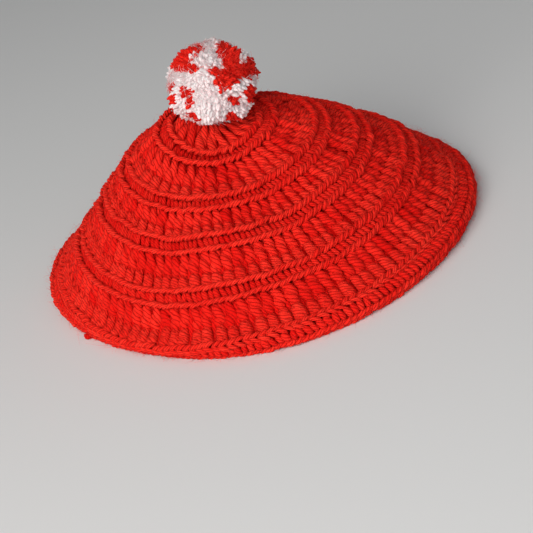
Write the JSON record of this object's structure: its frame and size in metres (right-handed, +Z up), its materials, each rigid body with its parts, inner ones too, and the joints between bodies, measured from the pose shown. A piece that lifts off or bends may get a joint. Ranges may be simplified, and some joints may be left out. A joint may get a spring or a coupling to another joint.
{
  "type": "crocheted beret with pompom",
  "caption": "Round soft beret of thick crocheted yarn with ridged rows, a rolled rim, a headband inside the opening and a two-colour pompom on top.",
  "frame": {"origin": "middle of the beret's outline seen from above, on the surface that its rim rests on", "axes": "+Z up through the crown to the pompom, +X to the front of the hat, +Y to its left side"},
  "size_m": [0.2974, 0.2858, 0.1493],
  "materials": {
    "red_yarn": "matte plied yarn with a fuzzy halo",
    "red_band_yarn": "matte plied yarn",
    "pompom_yarn": "cut ends of white and red yarn"
  },
  "bodies": {
    "root": {"crown": "red_yarn", "headband": "red_band_yarn", "pompom": "pompom_yarn"}
  },
  "joints": []
}
